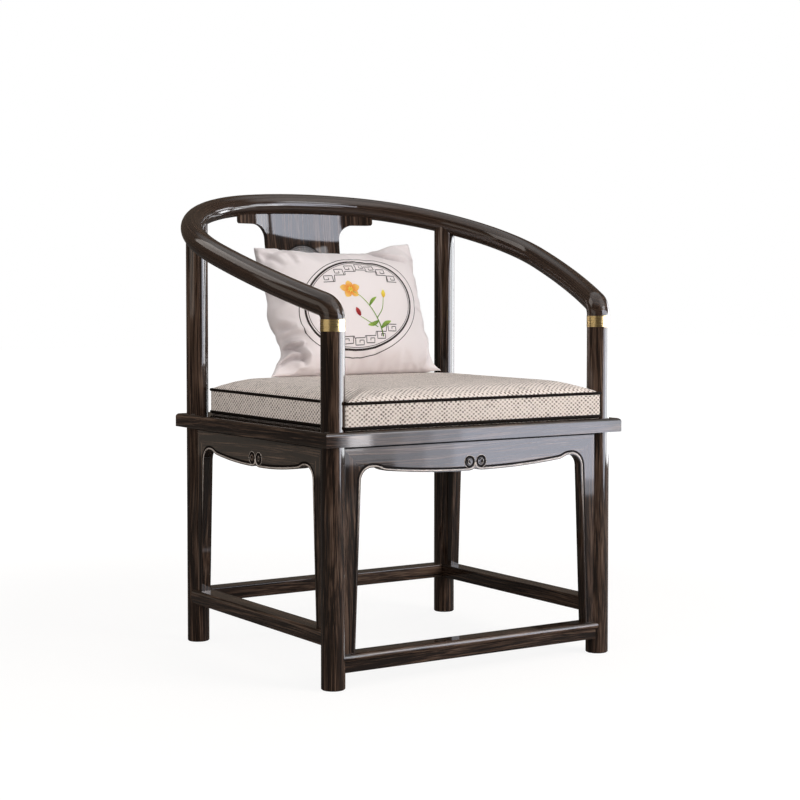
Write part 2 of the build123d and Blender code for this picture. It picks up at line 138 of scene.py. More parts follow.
def headings(points, closed=False):
    # unit direction of a line at each of its points
    pts = np.array(points, float)
    step = np.roll(pts, -1, 0) - np.roll(pts, 1, 0) if closed else np.gradient(pts, axis=0)
    return step / np.maximum(np.linalg.norm(step, axis=1), 1e-9)[:, None]


def leftOf(way):
    return np.stack([-way[:, 1], way[:, 0]], 1)


def quadRows(rows, width, closed=False, around=False, base=0):
    # faces between neighbouring rows of points; closed joins the last row to the first,
    # around joins the ends of each row
    faces = []
    for i in range(rows if closed else rows - 1):
        a, b = base + i * width, base + (i + 1) % rows * width
        for k in range(width if around else width - 1):
            m = (k + 1) % width
            faces.append((a + k, b + k, b + m, a + m))
    return faces


def sweepTube(name, line, radius, material, closed=False, up=(0.0, 0.0, 1.0), sides=10):
    # round section along a line; radius may be a list, one for each point
    pts = np.array([tuple(p) for p in line], float)
    count = len(pts)
    radii = np.full(count, radius) if np.isscalar(radius) else np.array(radius, float)
    verts = []
    for p, t, r in zip(pts, headings(pts, closed), radii):
        side = np.cross(t, up)
        side /= np.linalg.norm(side)
        lift = np.cross(side, t)
        for k in range(sides):
            a = 2 * math.pi * k / sides
            verts.append(p + r * (math.cos(a) * side + math.sin(a) * lift))
    faces = quadRows(count, sides, closed, around=True)
    if not closed:
        faces.append(tuple(range(sides)))
        faces.append(tuple((count - 1) * sides + k for k in reversed(range(sides))))
    return meshObject(name, verts, faces, material)


def joined(name, pieces):
    # one object from several, all in the same place
    verts, faces, slots, materials = [], [], [], []
    for piece in pieces:
        base = len(verts)
        verts += [v.co.copy() for v in piece.data.vertices]
        material = piece.data.materials[0]
        if material not in materials:
            materials.append(material)
        for polygon in piece.data.polygons:
            faces.append([base + i for i in polygon.vertices])
            slots.append(materials.index(material))
        bpy.data.objects.remove(piece)
    whole = meshObject(name, verts, faces)
    for material in materials:
        whole.data.materials.append(material)
    whole.data.polygons.foreach_set("material_index", slots)
    return whole


# small tools for shader nodes

def newMaterial(name):
    material = bpy.data.materials.new(name)
    material.use_nodes = True
    material.node_tree.nodes.clear()
    return material, material.node_tree


def feed(tree, socket, value):
    # links another node's output, or sets a constant
    if isinstance(value, bpy.types.NodeSocket):
        tree.links.new(value, socket)
    elif socket.type == "RGBA":
        socket.default_value = (*value, 1.0)
    else:
        socket.default_value = value


def addNode(tree, kind, **settings):
    # in_Some_Input feeds that input, any other word sets the node itself
    node = tree.nodes.new(kind)
    for key, value in settings.items():
        if key.startswith("in_"):
            feed(tree, node.inputs[key[3:].replace("_", " ")], value)
        else:
            setattr(node, key, value)
    return node


def operate(tree, kind, operation, values, **settings):
    node = addNode(tree, kind, operation=operation, **settings)
    for socket, value in zip(node.inputs, values):
        feed(tree, socket, value)
    return node


def mathNode(tree, operation, *values, clamp=False):
    return operate(tree, "ShaderNodeMath", operation, values, use_clamp=clamp).outputs[0]


def vectorNode(tree, operation, *values):
    return operate(tree, "ShaderNodeVectorMath", operation, values).outputs[0]


def placeOf(tree):
    return addNode(tree, "ShaderNodeTexCoord").outputs["Object"]


def noiseNode(tree, vector, scale, detail=3.0, roughness=0.5, distortion=0.0):
    return addNode(tree, "ShaderNodeTexNoise", in_Vector=vector, in_Scale=scale, in_Detail=detail,
                   in_Roughness=roughness, in_Distortion=distortion).outputs["Fac"]


def rampNode(tree, fac, stops):
    node = addNode(tree, "ShaderNodeValToRGB", in_Fac=fac)
    elements = node.color_ramp.elements
    while len(elements) < len(stops):
        elements.new(0.5)
    for element, (place, colour) in zip(elements, stops):
        element.position = place
        element.color = (*colour, 1.0)
    return node.outputs["Color"]


def spanNode(tree, value, low, high, toLow=0.0, toHigh=1.0):
    return addNode(tree, "ShaderNodeMapRange", interpolation_type="SMOOTHSTEP", in_Value=value,
                   in_From_Min=low, in_From_Max=high, in_To_Min=toLow, in_To_Max=toHigh).outputs[0]


def mixColours(tree, fac, first, second):
    node = addNode(tree, "ShaderNodeMix", data_type="RGBA")
    for slot, value in ((0, fac), (6, first), (7, second)):     # the colour mix's own inputs
        feed(tree, node.inputs[slot], value)
    return node.outputs[2]


def bumpOf(tree, height, strength, distance):
    return addNode(tree, "ShaderNodeBump", in_Height=height, in_Strength=strength,
                   in_Distance=distance).outputs[0]


def paint(tree, colour, roughness, height, strength, distance, **more):
    shader = addNode(tree, "ShaderNodeBsdfPrincipled", in_Base_Color=colour, in_Roughness=roughness,
                     in_Normal=bumpOf(tree, height, strength, distance), **more)
    addNode(tree, "ShaderNodeOutputMaterial", in_Surface=shader.outputs[0])


# ebony under clear lacquer: near-black heartwood with brown streaks along the grain
ebony = {
    "figure": (             # the grain's value and its colour, from dark to pale
        (0.42, (0.0098, 0.0051, 0.0032)),
        (0.495, (0.0228, 0.0125, 0.0080)),
        (0.56, (0.067, 0.039, 0.026)),
        (0.65, (0.138, 0.088, 0.062)),
    ),
    "streaks": 105.0,       # across the grain, per metre
    "fineStreaks": 420.0,
    "patches": 22.0,
    "fineShare": 0.52,      # of the fine streaks in the figure
    "patchShare": 0.22,
    "run": 0.022,           # how much longer a streak is along the grain
    "wander": 0.040,        # how far the streaks drift sideways, in metres
    "wanderAcross": 6.0,    # how often they do, per metre
    "wanderAlong": 2.2,
    "lacquerRoughness": 0.045,
    "lacquerRipple": 0.05,
}


def woodSurface(tree, broad, fine, patch):
    spec = ebony
    figure = mathNode(tree, "ADD", mathNode(tree, "MULTIPLY", broad, 1 - spec["fineShare"]),
                      mathNode(tree, "MULTIPLY", fine, spec["fineShare"]))
    figure = mathNode(tree, "ADD", figure, mathNode(tree, "MULTIPLY_ADD", patch, spec["patchShare"],
                                                    -spec["patchShare"] / 2))
    ripple = mathNode(tree, "ADD", broad, mathNode(tree, "MULTIPLY", fine, 0.5))
    paint(tree, rampNode(tree, figure, spec["figure"]), mathNode(tree, "MULTIPLY_ADD", fine, -0.25, 0.72),
          figure, 0.35, 0.4 * mm, in_Specular_IOR_Level=0.05, in_Coat_Weight=1.0,
          in_Coat_Roughness=spec["lacquerRoughness"], in_Coat_IOR=1.5,
          in_Coat_Normal=bumpOf(tree, ripple, spec["lacquerRipple"], 0.5 * mm))


def makeStraightGrain(name, axes):
    material, tree = newMaterial(name)
    place = placeOf(tree)
    run, slow = [1.0, 1.0, 1.0], [ebony["wanderAcross"]] * 3
    for axis in axes:
        run["XYZ".index(axis)] = ebony["run"]
        slow["XYZ".index(axis)] = ebony["wanderAlong"]
    drift = addNode(tree, "ShaderNodeTexNoise", in_Vector=vectorNode(tree, "MULTIPLY", place, slow),
                    in_Scale=1.0, in_Detail=1.0).outputs["Color"]
    shifted = vectorNode(tree, "MULTIPLY_ADD", drift, [ebony["wander"]] * 3, place)
    along = vectorNode(tree, "MULTIPLY", shifted, run)
    woodSurface(tree, noiseNode(tree, along, ebony["streaks"], 3.0, 0.55, 0.35),
                noiseNode(tree, along, ebony["fineStreaks"], 3.0, 0.6),
                noiseNode(tree, along, ebony["patches"], 2.0))
    return material


# the crest rail's grain follows its bend: level lines of one plan function run along it
railGrain = {
    "flatHalf": 0.050,      # half of the straight middle
    "toeStart": 0.02,       # ahead of this the arms turn in
    "toeIn": 0.62,
    "slope": math.tan(math.radians(18.3)),
}


def makeRailGrain(name, spec):
    material, tree = newMaterial(name)
    x, y, z = addNode(tree, "ShaderNodeSeparateXYZ", in_Vector=placeOf(tree)).outputs
    sideways = mathNode(tree, "SUBTRACT", mathNode(tree, "ABSOLUTE", x), spec["flatHalf"])
    backward = mathNode(tree, "MAXIMUM", y, 0.0)
    forward = mathNode(tree, "MINIMUM", mathNode(tree, "SUBTRACT", y, spec["toeStart"]), 0.0)
    squares = [mathNode(tree, "MULTIPLY", part, part) for part in (sideways, backward, forward)]
    bend = mathNode(tree, "SQRT", mathNode(tree, "ADD", squares[0], squares[1]))
    level = mathNode(tree, "ADD", bend, mathNode(tree, "MULTIPLY", squares[2], spec["toeIn"]))
    height = mathNode(tree, "SUBTRACT", z, mathNode(tree, "MULTIPLY", y, spec["slope"]))
    along = addNode(tree, "ShaderNodeCombineXYZ", in_X=mathNode(tree, "MULTIPLY", x, ebony["run"]),
                    in_Y=mathNode(tree, "MULTIPLY", y, ebony["run"]), in_Z=level).outputs[0]
    layers = []
    for scale, rough in ((ebony["streaks"], 0.55), (ebony["fineStreaks"], 0.6), (ebony["patches"], 0.5)):
        node = addNode(tree, "ShaderNodeTexNoise", noise_dimensions="4D", in_Vector=along, in_Scale=scale,
                       in_Detail=3.0, in_Roughness=rough, in_W=mathNode(tree, "MULTIPLY", height, scale))
        layers.append(node.outputs["Fac"])
    woodSurface(tree, *layers)
    return material


woodOf = {
    "X": makeStraightGrain("ebonyAlongX", "X"),
    "Y": makeStraightGrain("ebonyAlongY", "Y"),
    "Z": makeStraightGrain("ebonyUpright", "Z"),
    "splat": makeStraightGrain("ebonyBentBoard", "YZ"),
    "rail": makeRailGrain("ebonyBentRail", railGrain),
}


def grainOf(node):
    if node.startswith("crest_rail"):
        return "rail"
    if node == "back_splat":
        return "splat"     # its grain follows the bend
    if node.endswith(("_post", "_side_board")):
        return "Z"
    if node.startswith(("front_", "back_")) or node in ("rail_wedge_pins", "seat_panel"):
        return "X"
    return "Y"


brass = {
    "colour": (0.90, 0.69, 0.33),
    "tarnish": 0.86,        # of the colour, where it is darkest
    "clouds": 60.0,         # of tarnish, per metre
    "roughness": 0.28,
    "brushing": 900.0,
    "brushRun": (0.03, 0.03, 1.0),
}


def makeBrass(name, spec):
    material, tree = newMaterial(name)
    place = placeOf(tree)
    turned = vectorNode(tree, "MULTIPLY", place, spec["brushRun"])
    rings = noiseNode(tree, turned, spec["brushing"], 2.0, 0.6)
    deep = tuple(c * spec["tarnish"] for c in spec["colour"])
    colour = mixColours(tree, noiseNode(tree, place, spec["clouds"], 3.0, 0.6), deep, spec["colour"])
    paint(tree, colour, mathNode(tree, "MULTIPLY_ADD", rings, 0.10, spec["roughness"] - 0.05),
          rings, 0.10, 0.2 * mm, in_Metallic=1.0)
    return material


brassFinish = makeBrass("polishedBrass", brass)

softNodes = ("seat_cushion", "throw_pillow")
for name, piece in nodes.items():
    if name in softNodes:
        continue
    finish = brassFinish if name.endswith("_ferrule") else woodOf[grainOf(name)]
    if not piece.material_slots:
        piece.data.materials.append(finish)
    for slot in piece.material_slots:
        slot.material = finish
print("wood and brass finished")


# carving on the seat's three arched faces: a bead with a painted highlight and a groove of painted shade
# follow the lower edge, and two curls meet at the middle; all sizes in millimetres, in the plane of the
# face
carving = {
    "frameBottom": 397.0,
    "lowDrop": 53.5,
    "cuspHalf": 14.0,
    "cuspRise": 4.5,
    "shoulderInset": 98.0,
    "shoulderDrop": 44.5,
    "archInset": 71.0,
    "archDrop": 37.5,
    "topWidth": 47.5,
    "footWidth": 35.5,
    "cornerRadius": 21.0,
    "beadInset": 2.5,       # middle of the bead from the edge
    "beadRadius": 1.25,
    "beadSink": 0.35,
    "grooveInset": 5.9,
    "grooveHalf": 1.7,
    "underFrame": 4.6,      # height of the painted shadow band under the frame, on the board
    "shadowBandEnd": 17.0,      # of the painted shadow band short of the post's middle
    "proud": 0.12,          # the painted shade bands stand this much off the board
    "turnUp": ((0.9, 357.0), (1.2, 353.6), (2.3, 350.2)),     # of the bead between the curls
    # the curl: radius and half thickness of its parts; the ring and the eye are painted shade, the rim and
    # the shine painted highlight
    "curlCentre": (11.9, 358.6),
    "ring": (8.3, 2.0),
    "rim": (10.8, 0.5),
    "eye": (1.1, 0.8),
    "ridge": (4.6, 3.3),    # the C-shaped ridge winds in from the first radius to the second
    "ridgeThick": 1.7,
    "shine": (0.4, 1.2),    # half thickness and height of the painted highlight line along the ridge
}

# half span of the posts, foot of the side boards, and the frame of each face: where it stands
# and its outward and across directions; across grows to the viewer's right, seen from outside
carvedFaces = {
    "front": {"half": 276.0, "foot": 57.5, "origin": (0, -299), "out": (0, -1), "across": (1, 0)},
    "left": {"half": 242.0, "foot": 97.0, "origin": (-287, -46), "out": (-1, 0), "across": (0, -1)},
    "right": {"half": 242.0, "foot": 97.0, "origin": (287, -46), "out": (1, 0), "across": (0, 1)},
}


def facePoint(face, across, up, out=0.0):
    spec = carvedFaces[face]
    x, y = (spec["origin"][k] + spec["across"][k] * across + spec["out"][k] * out for k in (0, 1))
    return (x * mm, y * mm, up * mm)


def tangentArc(start, end, count):
    # arc from start, level there, to end
    dx, dy = end[0] - start[0], end[1] - start[1]
    radius = (dx * dx + dy * dy) / (2 * dy)
    sweep = math.degrees(math.asin(abs(dx) / radius))
    turn = 1 if dx > 0 else -1
    return arcPoints((start[0], start[1] + radius), radius, -90, -90 + turn * sweep, count)


def lowerEdge(face, spec):
    # right half of the board's lower edge, from the middle cusp to the foot
    half, foot = carvedFaces[face]["half"], carvedFaces[face]["foot"]
    low = spec["frameBottom"] - spec["lowDrop"]
    archTop = spec["frameBottom"] - spec["archDrop"]
    cuspEnd = (spec["cuspHalf"], low)
    lobe = tangentArc(cuspEnd, (0.0, low + spec["cuspRise"]), 7)[::-1]
    shoulder = np.array([half - spec["shoulderInset"], spec["frameBottom"] - spec["shoulderDrop"]])
    lower = tangentArc(cuspEnd, shoulder, 30)
    crest = np.array([half - spec["archInset"], archTop])
    run = (crest[0] - shoulder[0]) / 2
    heading = np.subtract(lower[-1], lower[-2])
    heading = heading / np.linalg.norm(heading)
    p = [shoulder, shoulder + heading * run, crest - (run, 0), crest]
    rise = []
    for t in np.linspace(0, 1, 9)[1:]:
        s = 1 - t
        rise.append(tuple(s ** 3 * p[0] + 3 * s * s * t * p[1] + 3 * s * t * t * p[2] + t ** 3 * p[3]))
    corner = np.array([half - spec["topWidth"], archTop])
    end = np.array([half - spec["footWidth"], foot])
    down = (end - corner) / np.linalg.norm(end - corner)
    lean = math.degrees(math.atan2(-down[1], down[0]))     # the side board's edge, below level
    reach = spec["cornerRadius"] * math.tan(math.radians(lean / 2))
    centre = (corner[0] - reach, archTop - spec["cornerRadius"])
    bend = arcPoints(centre, spec["cornerRadius"], 90, 90 - lean, 10)
    return lobe + lower[1:] + rise + bend + [tuple(end)]


def insetLine(line, inset):
    # the same line, moved into the board
    pts = np.array(evenly(line, 3.0, closed=False))
    return pts + leftOf(headings(pts)) * inset


# the carved lines are drawn as dark bands of painted shade, mottled between two tones
grooveShadeTones = ((0.0035, 0.0024, 0.0020), (0.010, 0.0066, 0.0052))

# raised lines get a painted highlight: pale tones in patches, fading to plain dark wood below the given
# heights, so hardly down the side boards
highlightSpec = {
    "tones": ((0.35, (0.40, 0.335, 0.295)), (0.65, (0.74, 0.65, 0.59))),
    "belowHighlight": (0.036, 0.022, 0.016),
    "heights": (0.22, 0.335),
    "highlightPatches": 70.0,           # patches per metre
}


def makeGrooveShade(name, tones):
    material, tree = newMaterial(name)
    # painted shade: a dark matt colour, mottled by noise
    shadeMottle = noiseNode(tree, placeOf(tree), 300.0, 3.0, 0.6)
    paint(tree, mixColours(tree, shadeMottle, *tones), 0.75, shadeMottle, 0.4, 0.3 * mm, in_Specular_IOR_Level=0.08)
    return material


def makePaintedHighlight(name, spec):
    material, tree = newMaterial(name)
    place = placeOf(tree)
    # painted highlight: pale patchy tones above the given heights, plain dark wood below
    highlightPatch = noiseNode(tree, place, spec["highlightPatches"], 3.0, 0.6)
    height = addNode(tree, "ShaderNodeSeparateXYZ", in_Vector=place).outputs[2]
    colour = mixColours(tree, spanNode(tree, height, *spec["heights"]), spec["belowHighlight"],
                        rampNode(tree, highlightPatch, spec["tones"]))
    paint(tree, colour, 0.35, highlightPatch, 0.15, 0.3 * mm, in_Specular_IOR_Level=0.5, in_Coat_Weight=0.6,
          in_Coat_Roughness=0.12)
    return material


grooveShade = makeGrooveShade("paintedGrooveShade", grooveShadeTones)
paintedHighlight = makePaintedHighlight("paintedHighlight", highlightSpec)


def flatBand(name, line, half, out, face, mirror=1, closed=False):
    # thin band of painted shade that follows a line of the face
    pts = np.array(line, float)
    verts = []
    for p, n in zip(pts, leftOf(headings(pts, closed))):
        for side in (-half, half):
            q = p + n * side
            verts.append(facePoint(face, mirror * q[0], q[1], out))
    faces = quadRows(len(pts), 2, closed)
    if mirror < 0:
        faces = [quad[::-1] for quad in faces]
    return meshObject(name, verts, faces, grooveShade)


def beadOn(name, line, radius, face, mirror, sink, material):
    pts = [facePoint(face, mirror * p[0], p[1], -sink) for p in line]
    return sweepTube(name, pts, np.array(radius) * mm if np.ndim(radius) else radius * mm, material,
                     up=(*carvedFaces[face]["out"], 0.0))


def makeCurl(face, mirror, spec):
    # a ring of painted shade with a fine painted-highlight rim outside it, and a wooden C-shaped ridge
    # with a painted highlight line on it and a small eye of painted shade inside
    cx, cy = spec["curlCentre"]
    ringOut = spec["proud"] + 0.05
    ring = arcPoints((cx, cy), spec["ring"][0], 0, 354, 60)
    rim = arcPoints((cx, cy), spec["rim"][0], 190, -70, 44)
    eye = arcPoints((cx + 0.4, cy), spec["eye"][0], 0, 330, 16)
    turns = np.linspace(0, 1, 40)
    first, last = spec["ridge"]
    ridge = []
    for t in turns:
        a, r = math.radians(150 - 330 * t), first + (last - first) * t
        ridge.append((cx + r * math.cos(a), cy + r * math.sin(a)))
    swell = spec["ridgeThick"] * np.sin(np.pi * np.clip(turns * 0.86 + 0.1, 0, 1)) ** 0.5
    shine, shineUp = spec["shine"]
    return [
        flatBand("ring", ring, spec["ring"][1], ringOut, face, mirror, closed=True),
        beadOn("rim", rim, spec["rim"][1], face, mirror, 0.1, paintedHighlight),
        beadOn("ridge", ridge, swell, face, mirror, 0.2, woodOf["X"]),
        beadOn("shine", ridge[6:30], shine, face, mirror, -shineUp, paintedHighlight),
        flatBand("eye", eye, spec["eye"][1], ringOut, face, mirror, closed=True),
    ]


def makeCarving(face, spec):
    edge = lowerEdge(face, spec)
    bead = insetLine(edge, spec["beadInset"])
    groove = insetLine(edge, spec["grooveInset"])
    # the groove runs into the curl's ring, the bead turns up between the two curls
    groove = groove[groove[:, 0] > spec["curlCentre"][0] - 2.0]
    bead = np.vstack([spec["turnUp"], bead[bead[:, 0] > 4.0]])
    made = []
    for mirror in (-1, 1):
        made.append(beadOn("bead", bead, spec["beadRadius"], face, mirror, spec["beadSink"], paintedHighlight))
        made.append(flatBand("groove", groove, spec["grooveHalf"], spec["proud"], face, mirror))
        made += makeCurl(face, mirror, spec)
    # a band of painted shadow runs under the frame, across the face
    half, underFrameShadow = carvedFaces[face]["half"] - spec["shadowBandEnd"], spec["underFrame"] / 2
    level = spec["frameBottom"] - underFrameShadow
    under = evenly([(-half, level), (half, level)], 20.0, closed=False)
    made.append(flatBand("underFrameShadow", under, underFrameShadow, spec["proud"], face))
    piece = joined(face + "Carving", made)
    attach(piece, "chair_frame")


for face in carvedFaces:
    makeCarving(face, carving)
print("aprons carved")


# the round medallion of the splat: two fine rings inside a groove drawn as a band of painted shade, laid
# on the bowed front; millimetres, and each ring is a radius and a thickness
medallion = {"height": 687.0, "rings": ((45.0, 1.1), (41.0, 0.7)), "groove": 48.6, "grooveHalf": 1.4}


def makeMedallion(spec):
    tree = surfaceOf(nodes["back_splat"])

    def onSplat(x, z, out):
        start = Vector((x * mm, -0.1, (spec["height"] + z) * mm))
        hit, normal, _, _ = tree.ray_cast(start, Vector((0.0, 1.0, 0.0)))
        return hit + normal * out * mm

    made = []
    for radius, thick in spec["rings"]:
        line = [onSplat(x, z, -0.3 * thick) for x, z in arcPoints((0, 0), radius, 0, 356, 90)]
        made.append(sweepTube("ring", line, thick * mm, woodOf["splat"], closed=True, up=(0.0, -1.0, 0.0)))
    # the groove is a band of painted shade
    verts, count = [], 96
    for a in np.arange(count) * 2 * math.pi / count:
        for r in (spec["groove"] + spec["grooveHalf"], spec["groove"] - spec["grooveHalf"]):
            verts.append(onSplat(r * math.cos(a), r * math.sin(a), 0.15))
    made.append(meshObject("groove", verts, quadRows(count, 2, closed=True), grooveShade))
    piece = joined("splatMedallion", made)
    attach(piece, "chair_frame")


makeMedallion(medallion)
print("medallion laid")


# fabrics

linen = {
    "thread": (0.93, 0.845, 0.79),
    "shade": (0.62, 0.525, 0.465),
    "fleck": (0.085, 0.052, 0.038),
    "fleckShare": 0.86,
    "across": 9.3 * mm,      # repeat of the diamond weave, across and up
    "up": 7.3 * mm,
    "wobble": (0.0034, 0.0030, 0.0),
    "wobbles": 90.0,         # per metre
    "fleckNoise": (340.0, 3.4),     # how fine and how strong, of single flecks and of patches
    "patchNoise": (60.0, 2.4),
    "fleckEdge": (0.35, 0.95),      # of the weave's height, where a fleck begins and is full
    "shadeEdge": (-0.4, 0.6),
}


def makeLinen(name, spec):
    material, tree = newMaterial(name)
    place = addNode(tree, "ShaderNodeUVMap", uv_map="weave").outputs[0]
    wobble = addNode(tree, "ShaderNodeTexNoise", in_Vector=place, in_Scale=spec["wobbles"],
                     in_Detail=2.0)
    shifted = vectorNode(tree, "MULTIPLY_ADD", wobble.outputs["Color"], spec["wobble"], place)
    across, up, _ = addNode(tree, "ShaderNodeSeparateXYZ", in_Vector=shifted).outputs
    u = mathNode(tree, "MULTIPLY", across, 2 * math.pi / spec["across"])
    v = mathNode(tree, "MULTIPLY", up, 2 * math.pi / spec["up"])

    def waves(times):
        both = [mathNode(tree, "COSINE", mathNode(tree, "MULTIPLY", way, times)) for way in (u, v)]
        return mathNode(tree, "MULTIPLY", *both)

    diamond, ribs = waves(1.0), waves(3.0)
    (fine, uneven), (coarse, patchy) = spec["fleckNoise"], spec["patchNoise"]
    threads = noiseNode(tree, place, fine, 2.0, 0.6)
    patch = noiseNode(tree, place, coarse, 3.0, 0.6)
    ragged = diamond
    for layer, share in ((threads, uneven), (patch, patchy)):
        ragged = mathNode(tree, "ADD", ragged, mathNode(tree, "MULTIPLY_ADD", layer, share, -share / 2))
    fleck = spanNode(tree, ragged, *spec["fleckEdge"])
    base = mixColours(tree, spanNode(tree, diamond, *spec["shadeEdge"]), spec["thread"], spec["shade"])
    base = mixColours(tree, mathNode(tree, "MULTIPLY", patch, 0.25), base, spec["shade"])
    colour = mixColours(tree, mathNode(tree, "MULTIPLY", fleck, spec["fleckShare"]), base, spec["fleck"])
    height = mathNode(tree, "SUBTRACT", mathNode(tree, "MULTIPLY", ribs, 0.5),
                      mathNode(tree, "MULTIPLY", fleck, 0.8))
    paint(tree, colour, 0.85, mathNode(tree, "ADD", height, threads), 0.5, 0.8 * mm,
          in_Specular_IOR_Level=0.12, in_Sheen_Weight=0.06)
    return material


piping = {
    "tones": ((0.0, (0.003, 0.002, 0.0017)), (1.0, (0.014, 0.009, 0.007))),
    "twist": 260.0,          # how fine the cord is twisted
}


def makePiping(name, spec):
    material, tree = newMaterial(name)
    twist = addNode(tree, "ShaderNodeTexWave", wave_type="BANDS", bands_direction="DIAGONAL",
                    in_Vector=placeOf(tree), in_Scale=spec["twist"], in_Distortion=1.0).outputs["Fac"]
    paint(tree, rampNode(tree, twist, spec["tones"]), 0.8, twist, 0.4, 0.4 * mm,
          in_Specular_IOR_Level=0.06)
    return material


def plump(piece, spec, pinned):
    # air pressure swells the shell; each point's movement is capped and the cloth is applied
    start = vertexArray(piece)
    cloth = piece.modifiers.new("plump", "CLOTH")
    settings = cloth.settings
    settings.quality = 6
    settings.mass = 0.25
    settings.tension_stiffness = spec["stiffness"]
    settings.compression_stiffness = spec["stiffness"]
    settings.bending_stiffness = spec["bending"]
    settings.shrink_min = -spec["spare"]
    settings.use_pressure = True
    settings.uniform_pressure_force = spec["pressure"]
    settings.effector_weights.gravity = 0.0
    cloth.collision_settings.use_collision = False
    group = piece.vertex_groups.new(name="seam")
    group.add([int(i) for i in pinned], 1.0, "REPLACE")
    settings.vertex_group_mass = "seam"
    cloth.point_cache.frame_start = 1
    cloth.point_cache.frame_end = spec["steps"]
    scene = bpy.context.scene
    for step in range(1, spec["steps"] + 1):
        scene.frame_set(step)
        bpy.context.view_layer.update()
    applyModifiers(piece)
    scene.frame_set(1)
    move = vertexArray(piece) - start
    length = np.maximum(np.linalg.norm(move, axis=1), 1e-9)
    capped = spec["cap"] * np.tanh(length / spec["cap"])
    setVertices(piece, start + move * (capped / length)[:, None])
    piece.vertex_groups.clear()


# the seat cushion: a boxed pad in two panels and a side band, piped along both seams
cushion = {
    "halfWidth": 264.5 * mm,
    "front": -309.0 * mm,
    "back": 171.0 * mm,
    "low": 421.4 * mm,
    "lowSeam": 426.6 * mm,
    "edge": 466.4 * mm,
    "rise": 18.5 * mm,        # of the top above the upper seam, before it swells
    "squareness": 9.0,
    "roundness": 0.35,
    "postX": 276.0 * mm,      # the front corners are cut out round the posts
    "postY": -288.0 * mm,
    "notch": 20.4 * mm,
    "notchReach": 52.0 * mm,
    "notchRounding": 14.0 * mm,
    "cornerRadius": 9.0 * mm,
    "fineCell": 4.0 * mm,
    "cell": 9.0 * mm,
    "fineBand": 28.0 * mm,
    "sideRows": 9,
    "pressure": 4.0,
    "stiffness": 18.0,
    "bending": 0.6,
    "spare": 0.0,             # how much larger the panels are cut than the seam between them
    "steps": 20,
    "cap": 3.5 * mm,          # of each point's movement
    "pipingRadius": {"lowerPiping": 2.2 * mm, "upperPiping": 2.6 * mm},
}


def gridLines(low, high, spec):
    fine = np.arange(0, spec["fineBand"] - 1e-9, spec["fineCell"])
    count = int(round((high - low - 2 * spec["fineBand"]) / spec["cell"]))
    middle = np.linspace(low + spec["fineBand"], high - spec["fineBand"], count + 1)
    return np.concatenate([low + fine, middle, (high - fine)[::-1]])


def cushionPlan(x, y, spec):
    # moves a point of the plain rectangle so that its front corners clear the posts and
    # its back corners are round
    side = 1.0 if x > 0 else -1.0
    dx, dy = x - side * spec["postX"], y - spec["postY"]
    r = math.hypot(dx, dy)
    if r < spec["notchReach"]:
        c, s = dx / r, dy / r
        edgeReach = (spec["postX"] - spec["halfWidth"]) / max(-side * c, 1e-6)
        if edgeReach < spec["notch"]:
            room = (spec["notchReach"] - spec["notch"]) / (spec["notchReach"] - edgeReach)
            r = spec["notch"] + (r - edgeReach) * room
            x, y = side * spec["postX"] + c * r, spec["postY"] + s * r
    cx, cy = spec["halfWidth"] - spec["cornerRadius"], spec["back"] - spec["cornerRadius"]
    if abs(x) > cx and y > cy:
        d = math.hypot(abs(x) - cx, y - cy)
        if d > spec["cornerRadius"]:
            x = side * (cx + (abs(x) - cx) * spec["cornerRadius"] / d)
            y = cy + (y - cy) * spec["cornerRadius"] / d
    return x, y


def cushionRise(x, y, spec):
    u = min(abs(x) / spec["halfWidth"], 1.0)
    v = min(abs(2 * (y - spec["front"]) / (spec["back"] - spec["front"]) - 1), 1.0)
    crown = ((1 - u ** spec["squareness"]) * (1 - v ** spec["squareness"])) ** spec["roundness"]
    clear = max(math.hypot(abs(x) - spec["postX"], y - spec["postY"]) - spec["notch"], 0.0)
    rounding = min(clear / spec["notchRounding"], 1.0)
    return spec["rise"] * crown * math.sqrt(1 - (1 - rounding) ** 2)


